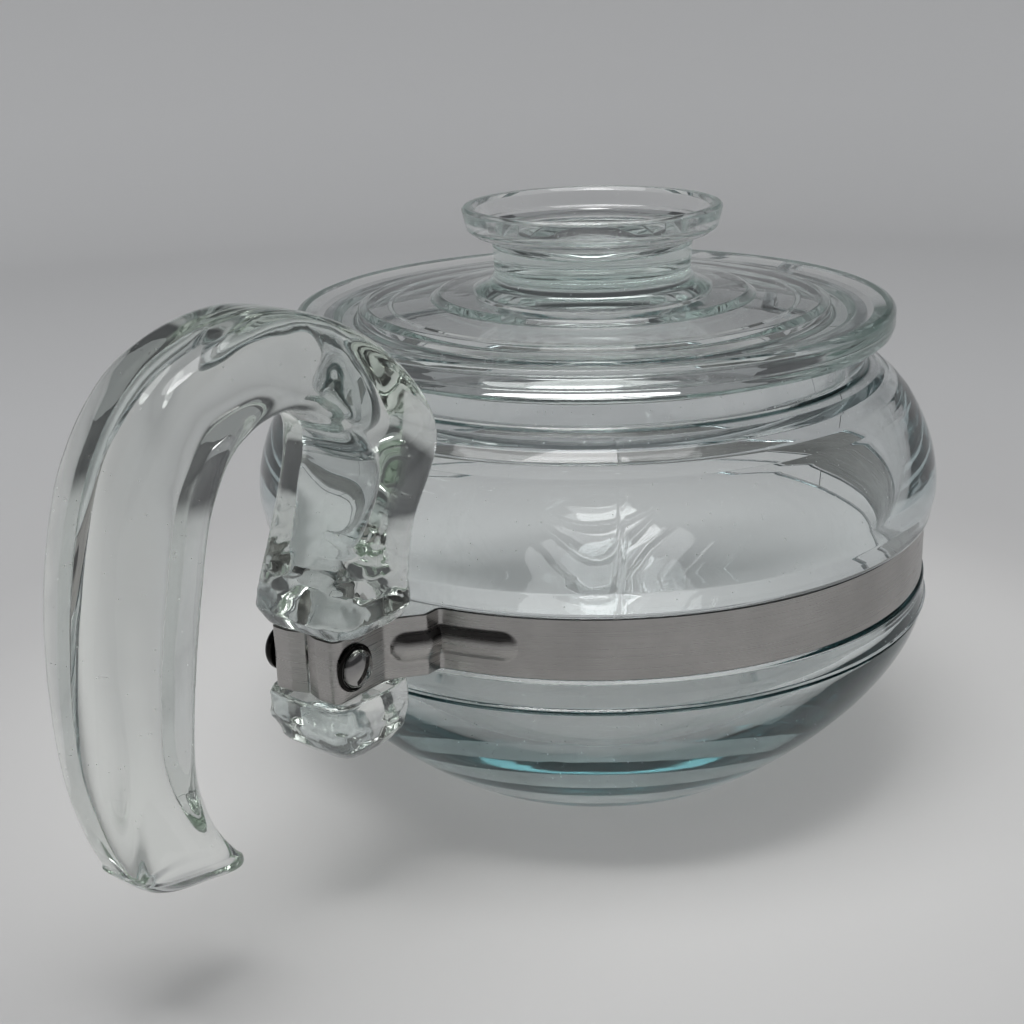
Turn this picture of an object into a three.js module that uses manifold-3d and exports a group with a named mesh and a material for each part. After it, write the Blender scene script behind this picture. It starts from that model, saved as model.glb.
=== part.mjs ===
// A stove-top glass teapot: a squat body with a moulded beak spout, a stepped lid with a dished
// knob, and an open glass hook handle that a steel strip clamps to the body's waist.
//
// Units are millimetres and +Z is up. The origin is the centre of the flat base. The spout
// points along +X and the handle along -X.

import * as THREE from 'three';
import { mergeVertices } from 'three/addons/utils/BufferGeometryUtils.js';
import Module from 'manifold-3d';

// ---- Driving dimensions ---------------------------------------------------------------------

const BASE_RADIUS = 44;          // flat disc that the pot stands on
const BASE_THICKNESS = 5.5;
const BELLY_RADIUS = 77;         // widest outer radius
const BELLY_Z = 64;              // the shoulder starts to draw in here
const SHOULDER_DRAW = 16.4;      // how far it would draw in over SHOULDER_RISE
const SHOULDER_RISE = 31.6;
const SHOULDER_TOP_Z = 84;       // the shoulder flattens above this, towards the neck's foot
const WAIST_RADIUS = 75.6;       // outer radius where the lower bowl meets the waist
const RIDGE_Z = 38.3;            // thin mould-parting ridge round the waist
const RIDGE_HEIGHT = 0.6;
const INNER_WAIST_RADIUS = 71;
const SHOULDER_WALLS = [5.4, 3.1];   // wall thickness at the belly and at the shoulder's top
const RIM_Z = 96.3;              // top face of the body's neck
const RIM_RADIUS = 60.4;
const NECK_BORE = 57.8;          // inner radius of the neck
const BORE_FOOT_Z = 87.9;        // the bore ends here in a ledge that runs out to the shoulder

const STRIP_WIDTH = 12.7;        // the steel strip, along Z
const STRIP_THICKNESS = 0.7;
const STRIP_TOP_Z = 57.5;
const STRIP_RADIUS = 74.55;      // middle of the strip's thickness where it hugs the body
const SEAT_RADIUS = 73.9;        // recess in the glass that the strip lies in

const SPOUT_TIP_RADIUS = 87;     // reach of the beak's lip from the axis
const SPOUT_ROOT_Z = BELLY_Z;
const SPOUT_WALL = 3;
const SPOUT_HALF_ANGLE = [13, 21];   // degrees, at the root and at the rim
const SPOUT_POINTEDNESS = 2.2;

const LID_RADIUS = 66.5;
const LID_UNDERSIDE_Z = 96.6;    // face that rests on the rim
const KNOB_TOP_Z = 125.3;
const KNOB_RADIUS = 28.8;

const BRACKET_REACH = 98;        // outer face of the two end flanges, from the axis
const BRACKET_HALF_WIDTH = 8.5;  // outer face of the side plates
const PINCH_HALF_WIDTH = 13.5;   // where the strip leaves the body
const SCREW_REACH = 93.3;        // screw axis, from the pot's axis
const SCREW_HOLE_RADIUS = 2.2;
const SHANK_RADIUS = 1.9;
const HEAD_RADIUS = 4.7;
const HEAD_HEIGHT = 2.8;
const NUT_LENGTH = 3.2;

const CLEARANCE = 0.3;           // gap between pieces that touch
const HANDLE_GAP = 0.8;          // gap between the handle's back and the body

const STRIP_BOTTOM_Z = STRIP_TOP_Z - STRIP_WIDTH;
const STRIP_MID_Z = STRIP_TOP_Z - STRIP_WIDTH / 2;

// ---- Small geometry helpers -----------------------------------------------------------------

const radians = THREE.MathUtils.degToRad;
const lerp = THREE.MathUtils.lerp;

// Numbers from first to last, both included.
function steps(first, last, count) {
  return Array.from({ length: count }, (_, i) => lerp(first, last, i / (count - 1)));
}

// Revolves a list of [radius, height] about the Z axis.
function revolve(profile, segments) {
  const points = profile.map(([r, z]) => new THREE.Vector2(r, z));
  return new THREE.LatheGeometry(points, segments).rotateX(Math.PI / 2);
}

const wasm = await Module();
wasm.setup();

function toSolid(geometry) {
  const bare = geometry.clone();
  bare.deleteAttribute('normal');
  bare.deleteAttribute('uv');
  const merged = mergeVertices(bare, 1e-4);
  const vertProperties = Float32Array.from(merged.attributes.position.array);
  const triVerts = Uint32Array.from(merged.index.array);
  return new wasm.Manifold(new wasm.Mesh({ numProp: 3, vertProperties, triVerts }));
}

function toGeometry(solid) {
  const mesh = solid.getMesh();
  const geometry = new THREE.BufferGeometry();
  geometry.setAttribute('position', new THREE.BufferAttribute(mesh.vertProperties, 3));
  geometry.setIndex(new THREE.BufferAttribute(mesh.triVerts, 1));
  geometry.computeVertexNormals();
  return geometry;
}

function subtract(geometry, ...cutters) {
  return toGeometry(cutters.reduce((solid, cutter) => solid.subtract(toSolid(cutter)), toSolid(geometry)));
}

// ---- Body -----------------------------------------------------------------------------------

// Outer radius of the shoulder, above the belly.
function shoulderRadius(z) {
  return BELLY_RADIUS - SHOULDER_DRAW * ((z - BELLY_Z) / SHOULDER_RISE) ** 2;
}

// The shoulder's inner face, one wall thickness inside the outer face at that height.
function shoulderInside(z) {
  const tilt = Math.atan((2 * SHOULDER_DRAW * (z - BELLY_Z)) / SHOULDER_RISE ** 2);
  const wall = lerp(...SHOULDER_WALLS, (z - BELLY_Z) / (SHOULDER_TOP_Z - BELLY_Z));
  return [shoulderRadius(z) - wall * Math.cos(tilt), z - wall * Math.sin(tilt)];
}

// Radius of the beak's front line: it leaves the belly and sweeps out to the lip.
function beakLine(z) {
  const rise = Math.max(0, (z - SPOUT_ROOT_Z) / (RIM_Z - SPOUT_ROOT_Z));
  return BELLY_RADIUS + (SPOUT_TIP_RADIUS - BELLY_RADIUS) * rise ** 1.5;
}

// How far the wall is drawn out to the beak: 1 at its middle, 0 outside its half-angle.
function beakShare(angle, z, narrowing) {
  const rise = Math.max(0, (z - SPOUT_ROOT_Z) / (RIM_Z - SPOUT_ROOT_Z));
  const halfAngle = radians(lerp(...SPOUT_HALF_ANGLE, rise) - narrowing);
  return Math.cos((Math.PI / 2) * Math.min(1, Math.abs(angle) / halfAngle)) ** SPOUT_POINTEDNESS;
}

function bodyOutline() {
  const bowl = steps(90, 0, 9).map((degrees) => {
    const t = radians(degrees);
    const reach = Math.max(0, Math.cos(t)) ** 1.9;
    return [BASE_RADIUS + (WAIST_RADIUS - BASE_RADIUS) * reach, RIDGE_Z * (1 - Math.sin(t) ** 1.27)];
  });
  const outer = [
    [0, 0],
    ...bowl,
    [WAIST_RADIUS + RIDGE_HEIGHT, RIDGE_Z + 0.4],
    [WAIST_RADIUS, RIDGE_Z + 0.8],
    [WAIST_RADIUS - 0.2, STRIP_BOTTOM_Z - 0.8],
    [SEAT_RADIUS, STRIP_BOTTOM_Z - 0.4],
    [SEAT_RADIUS, STRIP_TOP_Z + 0.4],
    [BELLY_RADIUS - 1.2, STRIP_TOP_Z + 0.7],
    [BELLY_RADIUS - 0.8, STRIP_TOP_Z + 1.6],
    [BELLY_RADIUS - 0.5, STRIP_TOP_Z + 3.2],
    [BELLY_RADIUS, STRIP_TOP_Z + 6],
    [BELLY_RADIUS, BELLY_Z],
    ...steps(BELLY_Z + 4, SHOULDER_TOP_Z, 4).map((z) => [shoulderRadius(z), z]),
    [68.2, 86.6], [65.8, 88.7], [63.2, 90], [61, 90.6], [RIM_RADIUS, 91.2],
    [RIM_RADIUS, RIM_Z],
  ];
  const innerShoulder = steps(SHOULDER_TOP_Z, BELLY_Z, 5).map(shoulderInside);
  const innerBowl = steps(0, 90, 7).map((degrees) => {
    const t = radians(degrees);
    const floorRadius = BASE_RADIUS - 5;
    const reach = Math.max(0, Math.cos(t)) ** 1.9;
    const drop = Math.sin(t) ** 1.3;
    return [lerp(floorRadius, INNER_WAIST_RADIUS, reach), lerp(RIDGE_Z + 1.7, BASE_THICKNESS, drop)];
  });
  const inner = [
    [NECK_BORE, RIM_Z],
    [NECK_BORE, 93],
    [NECK_BORE, BORE_FOOT_Z],
    [63.7, 86.7],
    [66, 84.9],
    ...innerShoulder,
    [INNER_WAIST_RADIUS + 0.4, 58],
    [INNER_WAIST_RADIUS, 52],
    ...innerBowl,
    [0, BASE_THICKNESS],
  ];
  return { outer, inner };
}

// The revolved body, with the shoulder and neck drawn out to a beak at +X on both faces.
function bodyGeometry() {
  const { outer, inner } = bodyOutline();
  const profile = [...outer, ...inner];
  const geometry = revolve(profile, 60);
  const position = geometry.attributes.position;
  for (let i = 0; i < position.count; i += 1) {
    const z = position.getZ(i);
    if (z <= SPOUT_ROOT_Z) continue;
    const isOuter = i % profile.length < outer.length;
    const angle = Math.atan2(position.getY(i), position.getX(i));
    const radius = Math.hypot(position.getX(i), position.getY(i));
    const target = beakLine(z) - (isOuter ? 0 : SPOUT_WALL);
    const drawn = lerp(radius, target, beakShare(angle, z, isOuter ? 0 : 2.5));
    position.setX(i, drawn * Math.cos(angle));
    position.setY(i, drawn * Math.sin(angle));
  }
  return geometry;
}

// ---- Lid ------------------------------------------------------------------------------------

function lidGeometry() {
  const profile = [
    // Underside: a hollow, then the plug that drops into the neck.
    [0, 102.8], [25.2, 102.6], [26, 101.6], [44.7, 100.9], [45.5, 100],
    [50.5, 99.6], [52.6, 97.6], [53, 90.2], [53.6, 89.5], [56.3, 89.5], [57, 90.2],
    [57.1, 96.2], [57.8, LID_UNDERSIDE_Z],
    // Flange that overhangs the rim.
    [61.6, LID_UNDERSIDE_Z], [64.8, 97.3], [66, 98.4], [LID_RADIUS, 100], [LID_RADIUS, 103], [65.8, 103.9],
    // Stepped top, rising to the knob's neck.
    [64.8, 104.2], [52.2, 103.9], [50.6, 105], [36, 105.3], [34.5, 106.6],
    [26.5, 107.1], [23.2, 108.4], [21.8, 110.6],
    // Knob: a neck, a flared flange and an open dish.
    [22.2, 116.8], [22.9, 118], [26.3, 119.3], [27.8, 120.4], [KNOB_RADIUS, KNOB_TOP_Z - 0.6],
    [KNOB_RADIUS - 0.6, KNOB_TOP_Z], [26.6, KNOB_TOP_Z], [25.8, 124.4], [24.7, 121.2], [21.5, 119],
    [16.8, 117.5], [14.2, 115.7], [11, 115], [0, 114.7],
  ];
  return revolve(profile, 48);
}

// ---- Handle ---------------------------------------------------------------------------------

// Sections along the hook, from its cut tip over the arch and down to the bracket. Each has a
// point on the outer contour and one on the inner contour, as reach from the axis and height,
// and the half width across the hook.
const HOOK_SECTIONS = [
  { outer: [143.5, 26], inner: [119.4, 21], halfWidth: 7.4 },
  { outer: [147, 36], inner: [128.3, 33.8], halfWidth: 9 },
  { outer: [149, 49], inner: [132.4, 47], halfWidth: 10.4 },
  { outer: [148.2, 77], inner: [128.8, 74], halfWidth: 11.2 },
  { outer: [141.4, 101], inner: [123.4, 92.5], halfWidth: 11.2 },
  { outer: [128.5, 115.5], inner: [116.5, 100.5], halfWidth: 11 },
  { outer: [105, 121.2], inner: [104, 103], halfWidth: 10.5 },
  { outer: [80, 110.6], inner: [91, 96.5], halfWidth: 11.2 },
  { outer: [68.6, 93], inner: [89, 89.5], halfWidth: 13.8 },
  { outer: [75.5, 76], inner: [95.5, 73.5], halfWidth: 12.6 },
  { outer: [77.8, 66], inner: [99.2, 65], halfWidth: 12.8 },
];

// Level sections that follow: the collar on the bracket, the waist inside it and the foot.
const COLLAR_Z = STRIP_TOP_Z + 0.5;
const FOOT_Z = STRIP_BOTTOM_Z - 0.5;
const LEG_SECTIONS = [
  { z: COLLAR_Z + 3, from: 77.8, to: 100, halfWidth: 13.2 },
  { z: COLLAR_Z, from: 78.2, to: 98.6, halfWidth: 11.2 },
  { z: COLLAR_Z, from: 78.2, to: 90.4, halfWidth: 7.4 },
  { z: FOOT_Z, from: 78.2, to: 90.4, halfWidth: 7.4 },
  { z: FOOT_Z, from: 77.8, to: 99.8, halfWidth: 10.8 },
  { z: FOOT_Z - 5, from: 77.8, to: 100.2, halfWidth: 11.2 },
  { z: FOOT_Z - 10, from: 78.4, to: 98, halfWidth: 9.8 },
  { z: FOOT_Z - 12.8, from: 80.5, to: 94.8, halfWidth: 7.4 },
];

const HOOK_STEPS = 34;
const SECTION_SIDES = 20;
const SECTION_SQUARENESS = 3.6;

// One ring of points: a rounded rectangle between two contour points, kept clear of the body.
function handleRing(outer, inner, halfWidth) {
  const centre = outer.clone().add(inner).multiplyScalar(0.5);
  const half = outer.clone().sub(centre);
  return Array.from({ length: SECTION_SIDES }, (_, i) => {
    const angle = (2 * Math.PI * i) / SECTION_SIDES;
    const round = (value) => Math.sign(value) * Math.abs(value) ** (2 / SECTION_SQUARENESS);
    const across = round(Math.cos(angle));
    const point = new THREE.Vector3(
      -(centre.x + half.x * across),
      round(Math.sin(angle)) * halfWidth,
      centre.y + half.y * across,
    );
    const envelope = (point.z > BELLY_Z ? shoulderRadius(point.z) : BELLY_RADIUS) + HANDLE_GAP;
    const radius = Math.hypot(point.x, point.y);
    if (point.z < RIM_Z && radius < envelope) {
      point.x *= envelope / radius;
      point.y *= envelope / radius;
    }
    return point;
  });
}

// Joins a list of rings into one closed skin, with a flat fan over each end.
function loft(rings) {
  const sides = rings[0].length;
  const vertices = rings.flat();
  const indices = [];
  for (let ring = 0; ring < rings.length - 1; ring += 1) {
    for (let i = 0; i < sides; i += 1) {
      const a = ring * sides + i;
      const b = ring * sides + ((i + 1) % sides);
      indices.push(a, b + sides, b, a, a + sides, b + sides);
    }
  }
  const ends = [[0, -1], [rings.length - 1, 1]];
  for (const [ring, turn] of ends) {
    const centre = new THREE.Vector3();
    rings[ring].forEach((point) => centre.addScaledVector(point, 1 / sides));
    vertices.push(centre);
    for (let i = 0; i < sides; i += 1) {
      const a = ring * sides + i;
      const b = ring * sides + ((i + 1) % sides);
      indices.push(vertices.length - 1, ...(turn > 0 ? [b, a] : [a, b]));
    }
  }
  const geometry = new THREE.BufferGeometry().setFromPoints(vertices);
  geometry.setIndex(indices);
  geometry.computeVertexNormals();
  return geometry;
}

// A smooth curve through one contour of the hook.
function contour(side) {
  return new THREE.CatmullRomCurve3(HOOK_SECTIONS.map((s) => new THREE.Vector3(...s[side], s.halfWidth)));
}

function handleGeometry() {
  const [outer, inner] = [contour('outer'), contour('inner')];
  const hook = steps(0, 1, HOOK_STEPS).map((t) => {
    const [out, back] = [outer.getPoint(t), inner.getPoint(t)];
    return handleRing(new THREE.Vector2(out.x, out.y), new THREE.Vector2(back.x, back.y), out.z);
  });
  const leg = LEG_SECTIONS.map(({ z, from, to, halfWidth }) => (
    handleRing(new THREE.Vector2(from, z), new THREE.Vector2(to, z), halfWidth)
  ));
  return loft([...hook, ...leg]);
}

// ---- Clamp band -----------------------------------------------------------------------------

// Half of the strip's middle line, in plan, from the flange's free edge to the body's waist.
// The first number is the reach towards the handle, the second the distance sideways.
function bracketCorners() {
  const half = STRIP_THICKNESS / 2;
  const flange = BRACKET_REACH - half;
  const plate = BRACKET_HALF_WIDTH - half;
  const pinch = PINCH_HALF_WIDTH - half;
  return [
    [flange - 1.1, 0.5],
    [flange, 3.6],
    [flange, plate],
    [83.4, plate],
    [77.6, pinch],
    [Math.sqrt(STRIP_RADIUS ** 2 - pinch ** 2), pinch],
  ];
}

// The strip's whole middle line: flange, side plate, pinch, round the body and back again.
function stripMiddle() {
  const corners = bracketCorners();
  const bend = 1.4;
  const points = [corners[0]];
  for (let i = 1; i < corners.length - 1; i += 1) {
    const [before, here, after] = [corners[i - 1], corners[i], corners[i + 1]].map(
      ([x, y]) => new THREE.Vector2(x, y),
    );
    const start = here.clone().add(before.sub(here).setLength(bend));
    const end = here.clone().add(after.sub(here).setLength(bend));
    const curve = new THREE.QuadraticBezierCurve(start, here, end);
    points.push(...curve.getPoints(4).map((point) => [point.x, point.y]));
  }
  const [reach, side] = corners.at(-1);
  const leave = Math.atan2(side, reach);
  const round = steps(leave, 2 * Math.PI - leave, 64).map((angle) => [
    STRIP_RADIUS * Math.cos(angle),
    STRIP_RADIUS * Math.sin(angle),
  ]);
  const back = points.map(([x, y]) => [x, -y]).reverse();
  return [...points, ...round, ...back].map(([x, y]) => new THREE.Vector2(-x, -y));
}

// Moves a line of points sideways, keeping the distance at its corners.
function offsetLine(points, distance) {
  return points.map((point, i) => {
    const before = points[Math.max(0, i - 1)];
    const after = points[Math.min(points.length - 1, i + 1)];
    const incoming = (i > 0 ? point.clone().sub(before) : after.clone().sub(point)).normalize();
    const outgoing = (i < points.length - 1 ? after.clone().sub(point) : incoming.clone()).normalize();
    const middle = incoming.clone().add(outgoing).normalize();
    const stretch = 1 / Math.max(0.5, middle.dot(incoming));
    return new THREE.Vector2(-middle.y, middle.x).multiplyScalar(distance * stretch).add(point);
  });
}

function bandGeometry() {
  const middle = stripMiddle();
  const half = STRIP_THICKNESS / 2;
  const outline = [...offsetLine(middle, half), ...offsetLine(middle, -half).reverse()];
  const strip = new THREE.ExtrudeGeometry(new THREE.Shape(outline), {
    depth: STRIP_WIDTH,
    bevelEnabled: false,
  }).translate(0, 0, STRIP_BOTTOM_Z);
  const hole = new THREE.CylinderGeometry(SCREW_HOLE_RADIUS, SCREW_HOLE_RADIUS, 40, 20)
    .translate(-SCREW_REACH, 0, STRIP_MID_Z);
  return subtract(strip, hole);
}

// ---- Screw and nut --------------------------------------------------------------------------

// Both are revolved about their own axis, which then lies along Y, and the head faces -Y.
function domePoints(radius, height, base) {
  return steps(0, 90, 6).map((degrees) => [
    radius * Math.cos(radians(degrees)),
    base + height * Math.sin(radians(degrees)),
  ]);
}

const HEAD_BASE = BRACKET_HALF_WIDTH + CLEARANCE;
const SHANK_END = BRACKET_HALF_WIDTH + 1.6;

function screwGeometry() {
  const dome = domePoints(HEAD_RADIUS, HEAD_HEIGHT - 0.6, HEAD_BASE + 0.6);
  dome[dome.length - 1][0] = 0;
  const profile = [
    [0, -SHANK_END],
    [SHANK_RADIUS, -SHANK_END],
    [SHANK_RADIUS, HEAD_BASE],
    [HEAD_RADIUS, HEAD_BASE],
    ...dome,
  ];
  const slot = new THREE.BoxGeometry(2 * HEAD_RADIUS + 2, 1.2, 2)
    .rotateZ(radians(-55))
    .translate(0, 0, HEAD_BASE + HEAD_HEIGHT);
  return subtract(revolve(profile, 24), slot).rotateX(Math.PI / 2);
}

function nutGeometry() {
  const bore = SHANK_RADIUS + 0.2;
  const dome = domePoints(HEAD_RADIUS, NUT_LENGTH - 0.8, HEAD_BASE + 0.8);
  dome[dome.length - 1][0] = 0;
  const profile = [
    [0, SHANK_END + CLEARANCE],
    [bore, SHANK_END + CLEARANCE],
    [bore, HEAD_BASE],
    [HEAD_RADIUS, HEAD_BASE],
    ...dome,
  ];
  return revolve(profile, 24).rotateX(-Math.PI / 2);
}

// ---- Assembly -------------------------------------------------------------------------------

function piece(name, geometry, color, roughness, metalness) {
  const mesh = new THREE.Mesh(geometry, new THREE.MeshStandardMaterial({ color, roughness, metalness }));
  mesh.name = name;
  return mesh;
}

const fastenerAxis = new THREE.Group();
fastenerAxis.position.set(-SCREW_REACH, 0, STRIP_MID_Z);
fastenerAxis.add(
  piece('clamp_screw', screwGeometry(), 0x6e6c6a, 0.25, 1),
  piece('clamp_nut', nutGeometry(), 0x4a4846, 0.35, 1),
);

const group = new THREE.Group();
group.add(
  piece('body_glass', bodyGeometry(), 0xcfdde0, 0.04, 0),
  piece('lid_glass', lidGeometry(), 0xd9dfda, 0.04, 0),
  piece('handle_glass', handleGeometry(), 0xd6dbd3, 0.05, 0),
  piece('clamp_band', bandGeometry(), 0x9b9590, 0.38, 1),
  fastenerAxis,
);

export default group;
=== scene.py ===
"""A stove-top glass teapot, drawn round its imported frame.

Lengths in this script are millimetres until a mesh, lamp or camera is made. The origin is the
centre of the pot's base, the spout points along +X and the handle along -X.
"""

import math

import bpy
import numpy as np
from mathutils import Matrix, Vector, noise


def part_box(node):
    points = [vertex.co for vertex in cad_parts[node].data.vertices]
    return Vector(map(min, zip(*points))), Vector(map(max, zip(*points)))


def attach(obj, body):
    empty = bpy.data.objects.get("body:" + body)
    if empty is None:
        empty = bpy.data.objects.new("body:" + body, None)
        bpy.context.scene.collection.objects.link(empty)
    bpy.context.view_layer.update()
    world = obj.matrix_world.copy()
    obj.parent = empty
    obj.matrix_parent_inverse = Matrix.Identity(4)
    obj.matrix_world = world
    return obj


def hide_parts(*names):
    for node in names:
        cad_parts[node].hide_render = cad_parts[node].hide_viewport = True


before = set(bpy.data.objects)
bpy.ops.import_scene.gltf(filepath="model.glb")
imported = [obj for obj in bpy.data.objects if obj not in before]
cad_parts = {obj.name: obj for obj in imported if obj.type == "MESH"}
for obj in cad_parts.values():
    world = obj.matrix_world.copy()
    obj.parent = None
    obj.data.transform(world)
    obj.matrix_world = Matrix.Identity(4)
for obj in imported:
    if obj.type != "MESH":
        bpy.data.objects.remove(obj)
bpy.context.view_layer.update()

MM = 0.001


# ---- Driving dimensions, from the frame --------------------------------------------------------

def node_box(node):
    """The low and high corners of a CAD node's box, in millimetres."""
    low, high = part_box(node)
    return low / MM, high / MM


_, body_high = node_box("body_glass")
lid_low, lid_high = node_box("lid_glass")
handle_low, _ = node_box("handle_glass")
band_low, band_high = node_box("clamp_band")
screw_low, screw_high = node_box("clamp_screw")
_, nut_high = node_box("clamp_nut")

BELLY_RADIUS = body_high.y
SPOUT_TIP_RADIUS = body_high.x
RIM_Z = body_high.z
BASE_RADIUS = 44
BASE_THICKNESS = 5.5
BOWL_SWEEP = 1.9                   # power of the cosine that draws the bowl's two walls out
BELLY_Z = 64
SHOULDER_DRAW = 16.4               # how far the shoulder would draw in over its rise
SHOULDER_RISE = 31.6
SHOULDER_TOP_Z = 84                # the shoulder flattens above this, towards the neck's foot
RIDGE_Z = 38.3
WAIST_RADIUS = BELLY_RADIUS - 1.4
INNER_WAIST_RADIUS = 71
SHOULDER_WALLS = (5.4, 3.1)        # wall thickness at the belly and at the shoulder's top
RIM_RADIUS = 60.4
NECK_FOOT_Z = 90.7
NECK_BORE = 57.8
BORE_FOOT_Z = 87.9

STRIP_TOP_Z = band_high.z
STRIP_BOTTOM_Z = band_low.z
STRIP_MID_Z = (STRIP_TOP_Z + STRIP_BOTTOM_Z) / 2
STRIP_HALF_HEIGHT = 6.35
STRIP_THICKNESS = 0.7
STRIP_RADIUS = band_high.y - STRIP_THICKNESS / 2
SEAT_RADIUS = STRIP_RADIUS - 0.65
BRACKET_REACH = -band_low.x
BRACKET_HALF_WIDTH = 8.5
PINCH_HALF_WIDTH = 13.5

SPOUT_WALL = 3
SPOUT_HALF_ANGLE = (13, 21)        # degrees, at the belly and at the rim
SPOUT_NARROWING = 2.5              # degrees by which the inside is narrower, on each side
SPOUT_POINTEDNESS = 2.2

SCREW_REACH = -(screw_low.x + screw_high.x) / 2
HEAD_RADIUS = (screw_high.x - screw_low.x) / 2
HEAD_TOP = -screw_low.y
SHANK_END = screw_high.y
SHANK_RADIUS = 1.9
NUT_TOP = nut_high.y

POT_SIDES = 288
SMALL_SIDES = 96


# ---- Mesh helpers ------------------------------------------------------------------------------

def lerp(a, b, t):
    return a + (b - a) * t


def rounded(corners, count=5):
    """Points of a line with rounded corners. Each corner is its coordinates, then its radius."""
    line = [np.array(c[:-1], float) for c in corners]
    points = [line[0]]
    for i in range(1, len(line) - 1):
        radius, here = corners[i][-1], line[i]
        before, after = line[i - 1] - here, line[i + 1] - here
        long_before, long_after = np.linalg.norm(before), np.linalg.norm(after)
        if radius <= 0:
            points.append(here)
            continue
        cosine = np.clip(before @ after / (long_before * long_after), -1, 1)
        reach = radius / math.tan(max(math.acos(cosine) / 2, 0.02))
        start = here + before / long_before * min(reach, 0.45 * long_before)
        end = here + after / long_after * min(reach, 0.45 * long_after)
        for t in np.linspace(0, 1, count):
            points.append((1 - t) ** 2 * start + 2 * t * (1 - t) * here + t * t * end)
    points.append(line[-1])
    return np.array(points)


def sharp(points):
    """Corners without rounding, for the stretches of a line that a formula draws."""
    return [(*point, 0) for point in points]


def make_piece(name, points, faces, material, crease=50):
    """A smooth-shaded object. Edges that turn by more than the crease angle stay sharp."""
    mesh = bpy.data.meshes.new(name)
    mesh.from_pydata((np.asarray(points) * MM).tolist(), [], faces)
    mesh.polygons.foreach_set("use_smooth", np.ones(len(mesh.polygons), bool))
    mesh.set_sharp_from_angle(angle=math.radians(crease))
    mesh.materials.append(material)
    mesh.update()
    piece = bpy.data.objects.new(name, mesh)
    bpy.context.scene.collection.objects.link(piece)
    return piece


def place(piece, body, node):
    """Ties a piece to its moving body, and hides the CAD node it replaces."""
    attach(piece, body)
    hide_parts(node)


def lathe(profile, angles, shape=None):
    """Revolves a profile whose ends are on the axis. Shape may move the grid of points first."""
    profile = np.asarray(profile, float)
    radius, height = profile[1:-1, 0], profile[1:-1, 1]
    turn = np.asarray(angles)[:, None]
    heights = np.broadcast_to(height, (len(angles), len(radius)))
    grid = np.stack([radius * np.cos(turn), radius * np.sin(turn), heights], axis=-1)
    if shape:
        grid = shape(grid)
    columns, rows = grid.shape[:2]
    poles = [(0, 0, profile[0, 1]), (0, 0, profile[-1, 1])]
    points = np.vstack([grid.reshape(-1, 3), poles])
    first, last = columns * rows, columns * rows + 1
    faces = []
    for i in range(columns):
        a, b = i * rows, ((i + 1) % columns) * rows
        faces.append((first, b, a))
        faces.extend((a + j, b + j, b + j + 1, a + j + 1) for j in range(rows - 1))
        faces.append((a + rows - 1, b + rows - 1, last))
    return points, faces


def loft(rings):
    """Joins rings of points into one closed skin, with one flat face over each end."""
    sides = len(rings[0])
    points = np.vstack(rings)
    faces = []
    for ring in range(len(rings) - 1):
        a = ring * sides
        for i in range(sides):
            j = (i + 1) % sides
            faces.append((a + i, a + sides + i, a + sides + j, a + j))
    faces.append(tuple(range(sides)))
    faces.append(tuple(range(len(points) - 1, len(points) - sides - 1, -1)))
    return points, faces


SEAM_STEPS = (0, 0.12, 0.24, 0.4, 0.65)   # degrees to each side of a mould seam


def full_turn(count, seams=()):
    """Angles round a circle, with extra ones close to each seam."""
    angles = set(np.linspace(0, 2 * math.pi, count, endpoint=False).round(6))
    for seam in seams:
        for offset in SEAM_STEPS:
            beside = (seam + offset, seam - offset)
            angles.update(round(math.radians(s) % (2 * math.pi), 6) for s in beside)
    return np.array(sorted(angles))


# ---- Materials ---------------------------------------------------------------------------------

GLASS_IOR = 1.474
WHITE = (1, 1, 1, 1)
# Painted shade for the thin dark lines in the body glass
GLASS_LINE_PAINTED_SHADE = (0.02, 0.05, 0.05, 1)
# A painted dark reflection for the strip's upward faces
STRIP_PAINTED_DARK_REFLECTION = (0.035, 0.03, 0.028, 1)
# Painted shade for the ring round the screw's dome
SCREW_RING_PAINTED_SHADE = (0.015, 0.014, 0.013, 1)


class Graph:
    """A small hand for building a node material."""

    def __init__(self, name):
        self.material = bpy.data.materials.new(name)
        self.material.use_nodes = True
        self.tree = self.material.node_tree
        self.tree.nodes.clear()

    def node(self, kind, settings=None, **inputs):
        made = self.tree.nodes.new(kind)
        for key, value in (settings or {}).items():
            setattr(made, key, value)
        for key, value in inputs.items():
            self.set(made, key.replace("_", " "), value)
        return made

    def set(self, node, key, value):
        socket = node.inputs[int(key)] if key.isdigit() else node.inputs[key]
        if isinstance(value, bpy.types.NodeSocket):
            self.tree.links.new(value, socket)
        else:
            socket.default_value = value

    def maths(self, operation, a, b=0.0):
        made = self.node("ShaderNodeMath", {"operation": operation})
        self.set(made, "0", a)
        self.set(made, "1", b)
        return made.outputs[0]

    def ramp(self, factor, low, high, start, end):
        """Maps a factor between start and end to a value between low and high."""
        made = self.node(
            "ShaderNodeMapRange", {"clamp": True},
            Value=factor, From_Min=start, From_Max=end, To_Min=low, To_Max=high,
        )
        return made.outputs[0]

    def blend(self, factor, first, second):
        """Mixes two colours, from the first at factor 0 to the second at factor 1."""
        made = self.node("ShaderNodeMix", {"data_type": "RGBA"})
        self.set(made, "0", factor)
        self.set(made, "6", first)
        self.set(made, "7", second)
        return made.outputs[2]

    def length(self, vector):
        return self.node(
            "ShaderNodeVectorMath", {"operation": "LENGTH"}, Vector=vector
        ).outputs["Value"]

    def bump(self, height, strength, distance):
        return self.node(
            "ShaderNodeBump", Height=height, Strength=strength, Distance=distance
        ).outputs["Normal"]

    def finish(self, surface, volume=None):
        output = self.node("ShaderNodeOutputMaterial", Surface=surface)
        if volume:
            self.set(output, "Volume", volume)
        return self.material


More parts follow.
